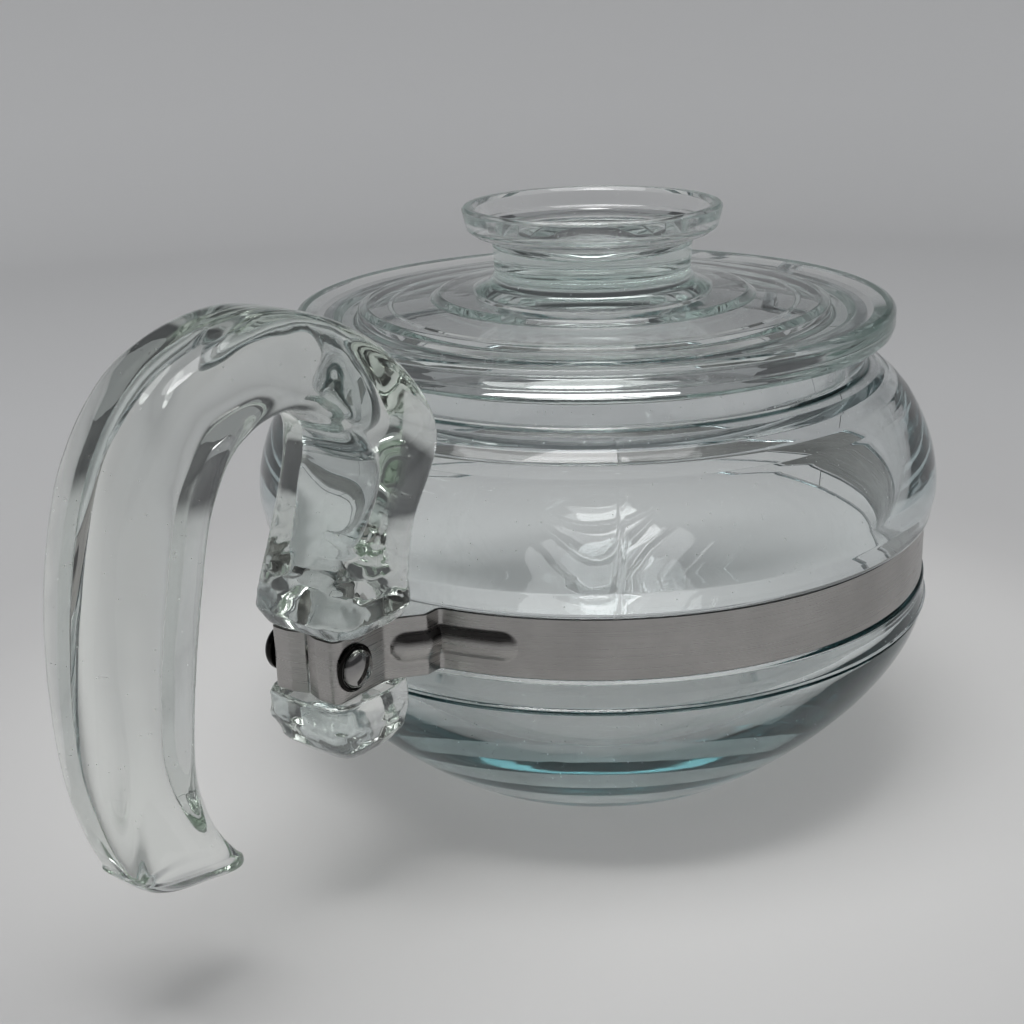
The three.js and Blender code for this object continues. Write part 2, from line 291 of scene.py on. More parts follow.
def painted_shade_line_mask(g, place_on, lines):
    """1 on the thin dark lines of painted shade. A line is its height, half its thickness and its
    starting radius.
    """
    height = g.node("ShaderNodeSeparateXYZ", Vector=place_on).outputs["Z"]
    level = g.node("ShaderNodeMapping", Vector=place_on, Scale=(1.0, 1.0, 0.0)).outputs[0]
    radius = g.length(level)
    mask = 0.0
    for line_z, half, from_radius in lines:
        off = g.maths("ABSOLUTE", g.maths("SUBTRACT", height, line_z * MM))
        on_line = g.ramp(off, 1.0, 0.0, 0.5 * half * MM, half * MM)
        outside = g.ramp(radius, 0.0, 1.0, (from_radius - 0.2) * MM, from_radius * MM)
        mask = g.maths("MAXIMUM", g.maths("MULTIPLY", on_line, outside), mask)
    return mask


def glass(name, tint, density, ripple, smear, painted_shade_lines=()):
    """Clear pressed glass: mould ripples, finger smears, specks, hairline scratches and, where
    lines are given, thin dark lines of painted shade.
    """
    g = Graph(name)
    place_on = g.node("ShaderNodeTexCoord").outputs["Object"]
    waves = g.node("ShaderNodeTexNoise", Vector=place_on, Scale=70.0, Detail=2.0).outputs["Fac"]
    grease = g.node("ShaderNodeTexNoise", Vector=place_on, Scale=38.0, Detail=5.0).outputs["Fac"]
    specks = g.node("ShaderNodeTexVoronoi", Vector=place_on, Scale=420.0).outputs["Distance"]
    stretched = g.node(
        "ShaderNodeMapping", Vector=place_on, Scale=(240.0, 260.0, 2200.0)
    ).outputs[0]
    hairs = g.node("ShaderNodeTexNoise", Vector=stretched, Scale=1.0, Detail=1.0).outputs["Fac"]
    smeared = g.ramp(grease, 0.0, smear, 0.52, 0.72)
    speckled = g.ramp(specks, 0.35, 0.0, 0.05, 0.09)
    scratched = g.ramp(hairs, 0.0, 0.10, 0.73, 0.78)
    rough = g.maths("ADD", g.maths("ADD", smeared, speckled), scratched)
    surface = g.node(
        "ShaderNodeBsdfPrincipled", Roughness=rough, IOR=GLASS_IOR,
        Normal=g.bump(waves, 1.0, ripple * MM),
    )
    g.set(surface, "Base Color", WHITE)
    # Thin dark lines of painted shade, where the glass looks dark at the ridge and the neck's
    # foot
    if painted_shade_lines:
        line_shaded = g.blend(painted_shade_line_mask(g, place_on, painted_shade_lines), WHITE, GLASS_LINE_PAINTED_SHADE)
        g.set(surface, "Base Color", line_shaded)
    g.set(surface, "Transmission Weight", 1.0)
    inside = g.node("ShaderNodeVolumeAbsorption", Color=(*tint, 1), Density=density)
    return g.finish(surface.outputs[0], inside.outputs[0])


def strip_painted_dark_reflection(g, metal):
    """A painted dark reflection where the strip faces up: on the ribs' upper faces and along its
    top edge.
    """
    facing = g.node("ShaderNodeTexCoord").outputs["Normal"]
    upward = g.node("ShaderNodeSeparateXYZ", Vector=facing).outputs["Z"]
    return g.blend(g.ramp(upward, 0.0, 0.8, 0.10, 0.40), metal, STRIP_PAINTED_DARK_REFLECTION)


def screw_ring_painted_shade(g, place_on, metal):
    """Painted shade in the ring between the screw's dome and the edge of its head."""
    from_axis = g.node(
        "ShaderNodeMapping", Vector=place_on, Scale=(1.0, 0.0, 1.0),
        Location=(SCREW_REACH * MM, 0, -STRIP_MID_Z * MM),
    ).outputs[0]
    ring = g.ramp(
        g.length(from_axis), 0.0, 1.0, (HEAD_RADIUS - 1.2) * MM, (HEAD_RADIUS - 0.8) * MM
    )
    return g.blend(ring, metal, SCREW_RING_PAINTED_SHADE)


def steel(name, colour, rough, along_strip):
    """Stainless steel. A strip is brushed along its length, and a turned piece round its axis."""
    g = Graph(name)
    place_on = g.node("ShaderNodeTexCoord").outputs["Object"]
    if along_strip:
        split = g.node("ShaderNodeSeparateXYZ", Vector=place_on)
        turn = g.maths("ARCTAN2", split.outputs["Y"], split.outputs["X"])
        length = g.maths("MULTIPLY", turn, STRIP_RADIUS * MM * 30)
        across = g.maths("MULTIPLY", split.outputs["Z"], 5200.0)
        grain_at = g.node("ShaderNodeCombineXYZ", X=length, Y=across).outputs[0]
    else:
        grain_at = g.node(
            "ShaderNodeMapping", Vector=place_on, Scale=(900.0, 250.0, 900.0)
        ).outputs[0]
    grain = g.node("ShaderNodeTexNoise", Vector=grain_at, Scale=1.0, Detail=4.0).outputs["Fac"]
    patches = g.node("ShaderNodeTexNoise", Vector=place_on, Scale=55.0, Detail=6.0).outputs["Fac"]
    worn = g.node("ShaderNodeTexNoise", Vector=place_on, Scale=260.0, Detail=3.0).outputs["Fac"]
    dull = tuple(0.72 * c for c in colour)
    patchy = g.maths("ADD", g.maths("MULTIPLY", grain, 0.35), patches)
    metal = g.blend(g.ramp(patchy, 0.0, 1.0, 0.45, 0.9), (*dull, 1), (*colour, 1))
    # The strip gets a painted dark reflection where it faces up, and the screw gets painted shade
    # in the ring round its dome
    metal = strip_painted_dark_reflection(g, metal) if along_strip else screw_ring_painted_shade(g, place_on, metal)
    scratched = g.ramp(worn, 0.0, 0.12, 0.62, 0.7)
    smooth = g.ramp(grain, rough - 0.07, rough + 0.08, 0.3, 0.7)
    surface = g.node(
        "ShaderNodeBsdfPrincipled", Metallic=1.0, Normal=g.bump(grain, 0.6, 0.006 * MM)
    )
    g.set(surface, "Base Color", metal)
    g.set(surface, "Roughness", g.maths("ADD", smooth, scratched))
    return g.finish(surface.outputs[0])


# The body's dark lines at the ridge and at the neck's foot are painted shade
body_material = glass(
    "blue_tinged_glass", (0.0, 0.34, 0.37), 13.0, ripple=0.035, smear=0.05,
    painted_shade_lines=((RIDGE_Z - 0.1, 0.5, WAIST_RADIUS - 1.2), (NECK_FOOT_Z, 0.35, 59.5)),
)
lid_material = glass("clear_lid_glass", (0.1, 0.45, 0.35), 5.0, ripple=0.02, smear=0.05)
handle_material = glass("clear_handle_glass", (0.2, 0.42, 0.22), 5.0, ripple=0.03, smear=0.05)
band_material = steel("satin_strip_steel", (0.50, 0.485, 0.47), 0.30, along_strip=True)
screw_material = steel("turned_screw_steel", (0.42, 0.41, 0.40), 0.12, along_strip=False)


# ---- Body --------------------------------------------------------------------------------------

MOULD_SEAMS = (-142, -22, 98)      # degrees round the pot
SEAM_HEIGHT = 0.14
SEAM_HALF_ANGLE = 0.32             # degrees


def shoulder_radius(z):
    return BELLY_RADIUS - SHOULDER_DRAW * ((z - BELLY_Z) / SHOULDER_RISE) ** 2


def shoulder_inside(z):
    """Points one wall thickness inside the shoulder's outer face."""
    tilt = np.arctan(2 * SHOULDER_DRAW * (z - BELLY_Z) / SHOULDER_RISE ** 2)
    wall = lerp(*SHOULDER_WALLS, (z - BELLY_Z) / (SHOULDER_TOP_Z - BELLY_Z))
    return shoulder_radius(z) - wall * np.cos(tilt), z - wall * np.sin(tilt)


def beak_rise(z):
    return np.clip((z - BELLY_Z) / (RIM_Z - BELLY_Z), 0, 1)


def beak_line(z):
    return BELLY_RADIUS + (SPOUT_TIP_RADIUS - BELLY_RADIUS) * beak_rise(z) ** 1.5


def beak_share(angle, z, narrowing):
    """How far the wall is drawn out to the beak: 1 at its middle, 0 outside its half-angle."""
    half_angle = np.radians(lerp(*SPOUT_HALF_ANGLE, beak_rise(z)) - narrowing)
    turn = np.minimum(1, np.abs(angle) / half_angle)
    return np.maximum(0, np.cos(math.pi / 2 * turn)) ** SPOUT_POINTEDNESS


def body_profile():
    """The outer wall from the axis up to the rim, then the inner wall down to the axis."""
    turns = np.radians(np.linspace(84, 4, 34))
    bowl = zip(
        BASE_RADIUS + (WAIST_RADIUS - BASE_RADIUS) * np.cos(turns) ** BOWL_SWEEP,
        RIDGE_Z * (1 - np.sin(turns) ** 1.27),
    )
    shoulder_z = np.linspace(BELLY_Z + 1.5, SHOULDER_TOP_Z - 1, 22)
    outer = rounded([
        (0, 0.5, 0), (36, 0.5, 3), (39.5, 0, 2), (BASE_RADIUS, 0, 5),
        *sharp(bowl),
        (WAIST_RADIUS, RIDGE_Z - 0.6, 0), (WAIST_RADIUS - 0.9, RIDGE_Z - 0.1, 0.05),
        (WAIST_RADIUS + 0.6, RIDGE_Z + 0.4, 0.15), (WAIST_RADIUS, RIDGE_Z + 0.8, 0.2),
        (WAIST_RADIUS - 0.2, STRIP_BOTTOM_Z - 0.8, 0.5),
        (SEAT_RADIUS, STRIP_BOTTOM_Z - 0.4, 0.3), (SEAT_RADIUS, STRIP_TOP_Z + 0.4, 0.3),
        (BELLY_RADIUS - 1.2, STRIP_TOP_Z + 0.7, 0.4), (BELLY_RADIUS - 0.8, STRIP_TOP_Z + 1.6, 1),
        (BELLY_RADIUS - 0.5, STRIP_TOP_Z + 3.2, 3), (BELLY_RADIUS, STRIP_TOP_Z + 6, 6),
        (BELLY_RADIUS, BELLY_Z, 0),
        *sharp(zip(shoulder_radius(shoulder_z), shoulder_z)),
        (70.4, SHOULDER_TOP_Z, 2), (68.2, 86.6, 3), (65.8, 88.7, 3), (63.2, 90, 2),
        (61, NECK_FOOT_Z - 0.1, 0.3), (RIM_RADIUS, NECK_FOOT_Z + 0.5, 0.3),
        (RIM_RADIUS, RIM_Z, 0.8), (RIM_RADIUS - 1, RIM_Z, 0),
    ])
    below_neck = shoulder_inside(np.linspace(SHOULDER_TOP_Z - 0.3, BELLY_Z + 1, 22))
    floor_radius = BASE_RADIUS - 5
    dips = np.radians(np.linspace(4, 86, 34))
    inner_bowl = zip(
        lerp(floor_radius, INNER_WAIST_RADIUS, np.cos(dips) ** BOWL_SWEEP),
        lerp(RIDGE_Z + 1.7, BASE_THICKNESS, np.sin(dips) ** 1.3),
    )
    inner = rounded([
        (RIM_RADIUS - 1.5, RIM_Z, 0), (NECK_BORE, RIM_Z, 0.6), (NECK_BORE, BORE_FOOT_Z, 0.4),
        (63.7, 86.7, 0.8), (66, 84.9, 2), *sharp(zip(*below_neck)),
        (BELLY_RADIUS - SHOULDER_WALLS[0], BELLY_Z - 1, 4), (INNER_WAIST_RADIUS + 0.4, 58, 8),
        (INNER_WAIST_RADIUS, 52, 20),
        (INNER_WAIST_RADIUS, RIDGE_Z + 1.7, 3),
        *sharp(inner_bowl),
        (floor_radius, BASE_THICKNESS, 3), (0, BASE_THICKNESS, 0),
    ])
    return outer, inner


def make_body():
    outer, inner = body_profile()

    def draw_out(grid):
        """Adds the mould seams, and draws the shoulder and the neck out to the beak."""
        x, y, z = np.moveaxis(grid, -1, 0)
        angle, radius = np.arctan2(y, x), np.hypot(x, y)
        is_outer = np.broadcast_to(np.arange(grid.shape[1]) < len(outer) - 1, angle.shape)
        for seam in MOULD_SEAMS:
            away = (np.degrees(angle) - seam + 180) % 360 - 180
            ridge = SEAM_HEIGHT * np.exp(-((away / SEAM_HALF_ANGLE) ** 2))
            off_strip = (z > STRIP_TOP_Z + 1) | (z > RIDGE_Z) & (z < STRIP_BOTTOM_Z - 1)
            radius = radius + np.where(is_outer & off_strip & (z < RIM_Z - 2), ridge, 0)
        target = beak_line(z) - np.where(is_outer, 0, SPOUT_WALL)
        narrowing = np.where(is_outer, 0, SPOUT_NARROWING)
        share = np.where(z > BELLY_Z, beak_share(angle, z, narrowing), 0)
        drawn = lerp(radius, target, share)
        return np.stack([drawn * np.cos(angle), drawn * np.sin(angle), z], axis=-1)

    profile = np.vstack([outer, inner])
    points, faces = lathe(profile, full_turn(POT_SIDES, MOULD_SEAMS), draw_out)
    body = make_piece("pot_body", points, faces, body_material)
    place(body, "pot", "body_glass")


# ---- Lid ---------------------------------------------------------------------------------------

def make_lid():
    """Lathed from the underside's middle out to the edge, then back over the top and the knob."""
    underside, top = lid_low.z + 7.1, lid_high.z
    edge, knob = lid_high.x, 28.8
    profile = rounded([
        (0, 102.8, 0), (25.2, 102.6, 0.6), (26, 101.6, 0.6), (44.7, 100.9, 0.6),
        (45.5, 100, 0.6), (50.5, 99.6, 1.2), (52.6, 97.6, 1.5), (53, lid_low.z + 0.7, 1.2),
        (53.6, lid_low.z, 0.5),
        (56.3, lid_low.z, 0.6), (57, lid_low.z + 0.7, 0.8), (57.1, 96.2, 0.4),
        (57.8, underside, 0.4), (61.6, underside, 1.5), (64.8, 97.3, 1.5), (66, 98.4, 1.2),
        (edge, 100, 1.5), (edge, 103, 1.2), (65.8, 103.9, 1), (64.8, 104.2, 1),
        (52.2, 103.9, 1.2), (50.6, 105, 1), (36, 105.3, 1.2), (34.5, 106.6, 1),
        (26.5, 107.1, 2.5), (23.2, 108.4, 2.5), (21.8, 110.6, 4), (22.2, 116.8, 1),
        (22.9, 118, 1), (26.3, 119.3, 1), (27.8, 120.4, 0.8), (knob, top - 0.6, 0.6),
        (knob - 0.6, top, 0.5), (26.6, top, 0.5), (25.8, 124.4, 1), (24.7, 121.2, 2),
        (21.5, 119, 3), (16.8, 117.5, 2), (14.2, 115.7, 1.5), (11, 115, 2), (0, 114.7, 0),
    ], count=6)
    points, faces = lathe(profile, full_turn(POT_SIDES))
    lid = make_piece("lid_with_knob", points, faces, lid_material)
    place(lid, "lid", "lid_glass")


# ---- Handle ------------------------------------------------------------------------------------

# Sections along the hook, from its cut tip over the arch and down to the bracket: a point on the
# outer contour, a point on the inner contour (reach from the axis, height) and the half width.
HOOK_SECTIONS = (
    ((143.5, 26), (119.4, 21), 7.4),
    ((147, 36), (128.3, 33.8), 9),
    ((149, 49), (132.4, 47), 10.4),
    ((148.2, 77), (128.8, 74), 11.2),
    ((141.4, 101), (123.4, 92.5), 11.2),
    ((128.5, 115.5), (116.5, 100.5), 11),
    ((105, 121.2), (104, 103), 10.5),
    ((80, 110.6), (91, 96.5), 11.2),
    ((68.6, 93), (89, 89.5), 13.8),
    ((75.5, 76), (95.5, 73.5), 12.6),
    ((77.8, 66), (99.2, 65), 12.8),
)
COLLAR_Z = STRIP_TOP_Z + 0.5
FOOT_Z = STRIP_BOTTOM_Z - 0.5
# The level sections that follow: height, nearest and farthest reach, half width, rounding radius.
LEG_SECTIONS = (
    (COLLAR_Z + 3, 77.8, 100, 13.2, 1.5),
    (COLLAR_Z, 78.2, 98.6, 11.2, 1.5),
    (COLLAR_Z, 78.2, 90.4, 7.4, 0.6),
    (FOOT_Z, 78.2, 90.4, 7.4, 0.6),
    (FOOT_Z, 77.8, 99.8, 10.8, 1.2),
    (FOOT_Z - 5, 77.8, 100.2, 11.2, 3),
    (FOOT_Z - 10, 78.4, 98, 9.8, 3),
    (handle_low.z + 10.5, 80.5, 94.8, 7.4, 1.5),
)
LEG_SPACING = 1.5                  # between the rings of the leg
HANDLE_GAP = 0.8                   # between the handle and the body
SECTION_SIDES = 72
SECTION_SQUARENESS = 4.4           # 2 would be an ellipse, and more is closer to a rectangle
HOOK_RINGS = 170
AIM_RING = 12                      # the hook's tip points away from this ring's centre
TIP_LENGTH = 4.5                   # how much of the hook's tip is rounded over
TIP_SHRINK = 0.26                  # how much smaller the cut end is than the section behind it
TIP_RINGS = (0, 0.03, 0.08, 0.15, 0.25, 0.38, 0.52, 0.68, 0.84)
LEG_REACH = 88                     # the leg's middle, and how far out the leg is taken to go
LEG_LIMIT = 104
LEG_TOP_Z = 74
WAVE_LIMIT = 0.1


def catmull_rom(points, count):
    """A smooth centripetal curve through the points."""
    points = np.asarray(points, float)
    padded = np.vstack([2 * points[0] - points[1], points, 2 * points[-1] - points[-2]])
    made = []
    for t in np.linspace(0, len(points) - 1, count):
        i = min(int(t), len(points) - 2)
        p0, p1, p2, p3 = padded[i:i + 4]
        d0, d1, d2 = (np.linalg.norm(b - a) ** 0.5 for a, b in ((p0, p1), (p1, p2), (p2, p3)))
        out = ((p1 - p0) / d0 - (p2 - p0) / (d0 + d1) + (p2 - p1) / d1) * d1
        into = ((p2 - p1) / d1 - (p3 - p1) / (d1 + d2) + (p3 - p2) / d2) * d1
        u = t - i
        square, cube = 3 * (p2 - p1) - 2 * out - into, 2 * (p1 - p2) + out + into
        made.append(p1 + out * u + square * u ** 2 + cube * u ** 3)
    return np.array(made)


def handle_ring(outer, inner, half_width):
    """A rounded rectangle between two contour points, kept clear of the body."""
    turn = np.linspace(0, 2 * math.pi, SECTION_SIDES, endpoint=False) + math.pi / SECTION_SIDES
    power = 2 / SECTION_SQUARENESS
    across = np.sign(np.cos(turn)) * np.abs(np.cos(turn)) ** power
    aside = np.sign(np.sin(turn)) * np.abs(np.sin(turn)) ** power
    centre, half = (outer + inner) / 2, (outer - inner) / 2
    reach, height = centre[0] + half[0] * across, centre[1] + half[1] * across
    ring = np.stack([-reach, aside * half_width, height], axis=-1)
    radius = np.hypot(ring[:, 0], ring[:, 1])
    wall = np.where(height > BELLY_Z, shoulder_radius(height), BELLY_RADIUS) + HANDLE_GAP
    push = np.where((height < RIM_Z) & (radius < wall), wall / radius, 1)
    ring[:, :2] *= push[:, None]
    return ring


def hook_rings():
    """Rings from the rounded tip, over the arch and down to the bracket."""
    outer = catmull_rom([(*out, width) for out, _, width in HOOK_SECTIONS], HOOK_RINGS)
    inner = catmull_rom([(*back, width) for _, back, width in HOOK_SECTIONS], HOOK_RINGS)
    centres = (outer[:, :2] + inner[:, :2]) / 2
    along = centres[AIM_RING] - centres[0]
    along /= np.linalg.norm(along)
    rings = []
    for t in TIP_RINGS:
        shrink = 1 - TIP_SHRINK * (1 - math.sqrt(1 - (1 - t) ** 2))
        shift = along * TIP_LENGTH * t
        rings.append(handle_ring(
            lerp(centres[0], outer[0, :2], shrink) + shift,
            lerp(centres[0], inner[0, :2], shrink) + shift,
            outer[0, 2] * shrink,
        ))
    for i in range(1, HOOK_RINGS):
        past_tip = (centres[i] - centres[0]) @ along > TIP_LENGTH or i > HOOK_RINGS // 4
        if past_tip:
            rings.append(handle_ring(outer[i, :2], inner[i, :2], outer[i, 2]))
    return rings


def leg_rings():
    """Level rings through the bracket and down to the handle's foot."""
    (near, height), (far, _), width = HOOK_SECTIONS[-1]
    level = rounded([(height, near, far, width, 0), *LEG_SECTIONS], count=6)
    fine = [level[0]]
    for a, b in zip(level[:-1], level[1:]):
        pieces = max(1, round(float(np.linalg.norm(b - a)) / LEG_SPACING))
        fine.extend(lerp(a, b, k / pieces) for k in range(1, pieces + 1))
    return [
        handle_ring(np.array([near, z]), np.array([far, z]), width)
        for z, near, far, width in fine[1:]
    ]


def add_waves(points):
    """Small waves left by the mould, choppier in the leg near the clamp."""
    for point in points:
        at_clamp = np.clip((LEG_TOP_Z - point[2]) / 8, 0, 1) if point[0] > -LEG_LIMIT else 0
        broad = noise.noise(Vector(point) * 0.16) * 0.14
        choppy = noise.noise(Vector(point) * 0.45) * 0.35
        outward = point - np.array([-LEG_REACH if at_clamp else point[0], 0, point[2]])
        size = np.linalg.norm(outward)
        if size > 0.1:
            point[:2] += outward[:2] / size * min(broad + at_clamp * choppy, WAVE_LIMIT)


def make_handle():
    points, faces = loft(hook_rings() + leg_rings())
    add_waves(points)
    handle = make_piece("hook_handle", points, faces, handle_material)
    place(handle, "pot", "handle_glass")


# ---- Clamp band --------------------------------------------------------------------------------

RIB_END_ANGLE = 22.9               # degrees from the handle
RIB_HALF_HEIGHT = 3.2
RIB_HEIGHT = 1.3
RIB_START_REACH = 83.0


def strip_middle():
    """The strip's middle line in plan, from one flange's free edge round to the other's."""
    half = STRIP_THICKNESS / 2
    flange, plate = BRACKET_REACH - half, BRACKET_HALF_WIDTH - half
    pinch = PINCH_HALF_WIDTH - half
    leave = math.atan2(pinch, math.sqrt(STRIP_RADIUS ** 2 - pinch ** 2))
    bracket = rounded([
        (flange - 1.1, 0.45, 0), (flange, 3.6, 1.5), (flange, plate, 1.7), (83.4, plate, 5),
        (77.6, pinch, 1.5),
        (STRIP_RADIUS * math.cos(leave), pinch, 1.5),
        (STRIP_RADIUS * math.cos(leave + 0.06), STRIP_RADIUS * math.sin(leave + 0.06), 0),
    ], count=9)
    close = math.radians(RIB_END_ANGLE + 3)
    turns = np.concatenate([
        np.arange(leave + 0.065, close, 0.006),
        np.arange(close, math.pi, math.radians(1.25)),
    ])
    half_line = [*bracket, *(STRIP_RADIUS * np.stack([np.cos(turns), np.sin(turns)], axis=-1))]
    fine = [half_line[0]]
    for a, b in zip(half_line[:-1], half_line[1:]):
        near = a[0] > 60
        pieces = max(1, round(float(np.linalg.norm(b - a)) / 0.45)) if near else 1
        fine.extend(lerp(a, b, k / pieces) for k in range(1, pieces + 1))
    fine = np.array(fine)
    back = fine[::-1] * (1, -1)
    return np.vstack([fine, (-STRIP_RADIUS, 0), back]) * (-1, -1)


def rib_height(distance, height):
    """How far the pressed rib stands out, given the distance inside its end along the strip."""
    run_out = np.clip(1 - distance / RIB_HALF_HEIGHT, 0, 1)
    half_height = RIB_HALF_HEIGHT * np.sqrt(np.clip(1 - run_out ** 2, 0, 1))
    share = np.clip(np.abs(height) / np.maximum(half_height, 1e-6), 0, 1)
    return RIB_HEIGHT * (1 - share ** 2) ** 1.2 * np.clip(distance / RIB_HALF_HEIGHT, 0, 1) ** 0.5


def make_band():
    middle = strip_middle()
    tangent = np.gradient(middle, axis=0)
    tangent /= np.linalg.norm(tangent, axis=1)[:, None]
    normal = np.stack([-tangent[:, 1], tangent[:, 0]], axis=-1)
    travel = np.concatenate([[0], np.cumsum(np.linalg.norm(np.diff(middle, axis=0), axis=1))])
    travel = np.minimum(travel, travel[-1] - travel)
    reach = -middle[:, 0]
    angle = np.degrees(np.arctan2(np.abs(middle[:, 1]), reach))
    # One side's flange and ribs lie in the first few hundred points.
    start = travel[np.argmin(np.abs(reach[:200] - RIB_START_REACH))]
    end = travel[np.argmin(np.abs(angle[:400] - RIB_END_ANGLE))]
    inside = np.minimum(travel - start, end - travel)
    half, edge = STRIP_THICKNESS / 2, 0.15
    outside = -1 if normal[0] @ middle[0] < 0 else 1
    high = STRIP_HALF_HEIGHT
    heights = np.linspace(-high + edge, high - edge, 41)
    section = [(half, h) for h in heights] + [(half - edge, high), (edge - half, high)]
    section += [(-half, h) for h in heights[::-1]] + [(edge - half, -high), (half - edge, -high)]
    rings = []
    for i in range(len(middle)):
        ring = []
        for depth, h in section:
            lift = float(rib_height(inside[i], h)) if inside[i] > 0 else 0.0
            xy = middle[i] + normal[i] * outside * (depth + lift)
            ring.append((xy[0], xy[1], STRIP_MID_Z + h))
        rings.append(np.array(ring))
    points, faces = loft(rings)
    band = make_piece("clamp_strip", points, faces, band_material, crease=32)
    place(band, "pot", "clamp_band")


# ---- Screw and nut -----------------------------------------------------------------------------

SLOT_DEPTH = 1.0
SLOT_HALF_WIDTH = 0.55
SLOT_TURN = 55                     # degrees


def onto_screw_axis(turn):
    """Lays a lathed piece's own axis along the screw's axis."""
    place_at = Vector((-SCREW_REACH, 0, STRIP_MID_Z)) * MM
    return Matrix.Translation(place_at) @ Matrix.Rotation(turn, 4, "X")


def dome(radius, base, top):
    """A dome's profile, from its edge nearly up to the axis."""
    turns = np.radians(np.linspace(0, 88, 20))
    return [(radius * math.cos(t), base + (top - base) * math.sin(t)) for t in turns]


def make_fasteners():
    base = BRACKET_HALF_WIDTH + 0.3
    dome_radius, dome_base = HEAD_RADIUS - 0.9, base + 0.45
    profile = rounded([
        (0, -SHANK_END, 0), (SHANK_RADIUS, -SHANK_END, 0.3), (SHANK_RADIUS, base, 0),
        (HEAD_RADIUS, base, 0.1), (HEAD_RADIUS, base + 0.25, 0.2),
        (HEAD_RADIUS - 0.5, base + 0.5, 0.3), (dome_radius + 0.2, dome_base - 0.15, 0.1),
        *sharp(dome(dome_radius, dome_base, HEAD_TOP)), (0, HEAD_TOP, 0),
    ])
    points, faces = lathe(profile, full_turn(SMALL_SIDES))
    screw = make_piece("slotted_screw", points, faces, screw_material)
    slot_points = np.array([
        (x, y, z)
        for x in (-6, 6)
        for y in (-SLOT_HALF_WIDTH, SLOT_HALF_WIDTH)
        for z in (HEAD_TOP - SLOT_DEPTH, HEAD_TOP + 2)
    ])
    slot_faces = [
        (0, 1, 3, 2), (4, 6, 7, 5), (0, 4, 5, 1), (2, 3, 7, 6), (0, 2, 6, 4), (1, 5, 7, 3),
    ]
    cutter = make_piece("slot_cutter", slot_points, slot_faces, screw_material)
    cutter.data.transform(Matrix.Rotation(math.radians(SLOT_TURN), 4, "Z"))
    cut = screw.modifiers.new("slot", "BOOLEAN")
    cut.operation, cut.object, cut.solver = "DIFFERENCE", cutter, "EXACT"
    bpy.context.view_layer.update()
    evaluated = screw.evaluated_get(bpy.context.evaluated_depsgraph_get())
    cut_mesh = bpy.data.meshes.new_from_object(evaluated)
    screw.modifiers.clear()
    screw.data = cut_mesh
    screw.data.set_sharp_from_angle(angle=math.radians(40))
    bpy.data.objects.remove(cutter)
    screw.data.transform(onto_screw_axis(math.pi / 2))
    place(screw, "screw", "clamp_screw")

    bore = SHANK_RADIUS + 0.2
    profile = rounded([
        (0, SHANK_END + 0.3, 0), (bore, SHANK_END + 0.3, 0.1), (bore, base, 0.1),
        (HEAD_RADIUS, base, 0.2), *sharp(dome(HEAD_RADIUS, base + 0.8, NUT_TOP)), (0, NUT_TOP, 0),
    ])
    points, faces = lathe(profile, full_turn(SMALL_SIDES))
    nut = make_piece("dome_nut", points, faces, screw_material)
    nut.data.transform(onto_screw_axis(-math.pi / 2))
    place(nut, "pot", "clamp_nut")


# ---- Stage, light and camera -------------------------------------------------------------------

def floor_material():
    """Palest under the pot, painted light that fills in the pot's shadow, a little greyer further
    out, and dark high up the sweep.
    """
    g = Graph("studio_floor")
    place_on = g.node("ShaderNodeTexCoord").outputs["Object"]
    reach = g.length(place_on)
    height = g.node("ShaderNodeSeparateXYZ", Vector=place_on).outputs["Z"]

    def past(factor, start, end):
        """0 until a distance in metres, and 1 from a further one."""
        return g.ramp(factor, 0.0, 1.0, start, end)

    # Paler near the pot: painted light that fills in the pot's shadow
    near = g.blend(past(reach, 0.05, 0.17), (0.68, 0.675, 0.66, 1), (0.50, 0.495, 0.49, 1))
    far = g.blend(past(reach, 0.14, 0.35), near, (0.53, 0.53, 0.53, 1))
    bend = g.blend(past(reach, 0.72, 0.88), far, (0.58, 0.58, 0.58, 1))
    colour = g.blend(past(height, 0.23, 0.38), bend, (0.09, 0.09, 0.095, 1))
    mottle = g.node(
        "ShaderNodeTexNoise", Vector=place_on, Scale=120.0, Detail=8.0
    ).outputs["Fac"]
    surface = g.node(
        "ShaderNodeBsdfPrincipled", Roughness=0.7, Normal=g.bump(mottle, 0.25, 0.2 * MM)
    )
    g.set(surface, "Base Color", colour)
    g.set(surface, "Emission Color", (1, 0.99, 0.97, 1))
    # A faint glow near the pot: painted light that fills in its shadow
    g.set(surface, "Emission Strength", g.ramp(reach, 0.11, 0.0, 0.05, 0.20))
    return g.finish(surface.outputs[0])


SWEEP_START = 700
SWEEP_RADIUS = 250
STAGE_DROP = 0.25                  # the floor's clearance under the pot


def make_stage():
    """A round floor that sweeps up into a low wall all the way round."""
    bend = np.radians(np.linspace(0, 90, 24))
    profile = [(r, 0) for r in (60, 150, 300, 500)]
    profile += zip(SWEEP_START + SWEEP_RADIUS * np.sin(bend), SWEEP_RADIUS * (1 - np.cos(bend)))
    profile += [(SWEEP_START + SWEEP_RADIUS, h) for h in (320, 400, 600, 1000)]
    turns = full_turn(SMALL_SIDES)
    rows = len(profile)
    points = [
        (r * math.cos(t), r * math.sin(t), z - STAGE_DROP) for t in turns for r, z in profile
    ]
    points.append((0, 0, -STAGE_DROP))
    faces = []
    for i in range(len(turns)):
        a, b = i * rows, ((i + 1) % len(turns)) * rows
        faces.append((len(points) - 1, a, b))
        faces.extend((a + j, a + j + 1, b + j + 1, b + j) for j in range(rows - 1))
    make_piece("studio_floor", points, faces, floor_material())


LAMP_TURN = -53                    # degrees
WORLD_MIRRORED = 0.24              # the air's strength where the camera, glass or steel sees it
WORLD_ON_FLOOR = 0.80              # its strength for light that a matt surface has scattered


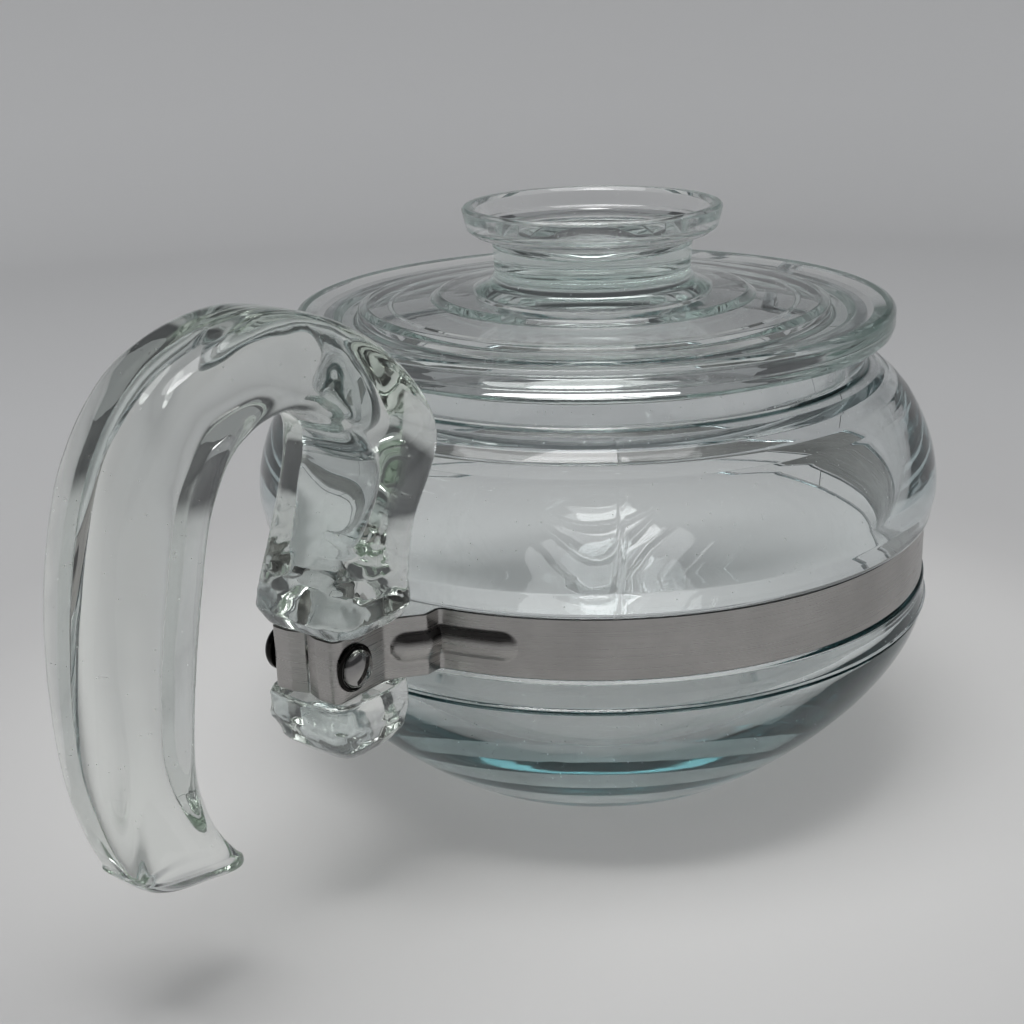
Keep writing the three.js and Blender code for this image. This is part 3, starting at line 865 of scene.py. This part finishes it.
def softbox(name, location, size, power):
    """An oval area lamp that faces down, with its long side across the main view."""
    data = bpy.data.lights.new(name, "AREA")
    data.shape, data.energy = "ELLIPSE", power
    data.size, data.size_y = size[0] * MM, size[1] * MM
    lamp = bpy.data.objects.new(name, data)
    bpy.context.scene.collection.objects.link(lamp)
    lamp.location = Vector(location) * MM
    lamp.rotation_euler = (0, 0, math.radians(LAMP_TURN))


def make_lights():
    """Air that is bright for the floor and dim in the glass and steel, and two softboxes."""
    world = bpy.data.worlds.new("studio_air")
    world.use_nodes = True
    tree = world.node_tree
    path = tree.nodes.new("ShaderNodeLightPath")
    strength = tree.nodes.new("ShaderNodeMapRange")
    strength.inputs["To Min"].default_value = WORLD_MIRRORED
    strength.inputs["To Max"].default_value = WORLD_ON_FLOOR
    tree.links.new(path.outputs["Diffuse Depth"], strength.inputs["Value"])
    background = tree.nodes["Background"]
    background.inputs["Color"].default_value = (0.95, 0.97, 1, 1)
    tree.links.new(strength.outputs["Result"], background.inputs["Strength"])
    bpy.context.scene.world = world
    softbox("wide_softbox", (-120, 40, 1150), (1100, 560), 4.9)
    softbox("small_softbox", (-300, -60, 1100), (560, 190), 1.8)


LENS = 56.25
SENSOR_WIDTH = 36
VIEW_POINT = (-293.3, -200.3, 176.28)
VIEW_RIGHT = (0.60084, -0.79896, -0.02597)
VIEW_UP = (0.27571, 0.17662, 0.94490)
VIEW_FORWARD = (0.75034, 0.57487, -0.32640)


def make_camera():
    """The view from the handle's side, a little above the lid."""
    data = bpy.data.cameras.new("camera")
    data.lens, data.sensor_width = LENS, SENSOR_WIDTH
    camera = bpy.data.objects.new("camera", data)
    bpy.context.scene.collection.objects.link(camera)
    backward = [-f for f in VIEW_FORWARD]
    turn = Matrix((VIEW_RIGHT, VIEW_UP, backward)).transposed().to_4x4()
    camera.matrix_world = Matrix.Translation(Vector(VIEW_POINT) * MM) @ turn
    bpy.context.scene.camera = camera


make_body()
make_lid()
make_handle()
make_band()
make_fasteners()
make_stage()
make_lights()
make_camera()

scene = bpy.context.scene
scene.view_settings.view_transform = "Standard"
LIGHT_BOUNCES = 32                 # light is reflected many times inside thick glass
scene.cycles.max_bounces = LIGHT_BOUNCES
scene.cycles.transmission_bounces = LIGHT_BOUNCES
scene.cycles.glossy_bounces = LIGHT_BOUNCES
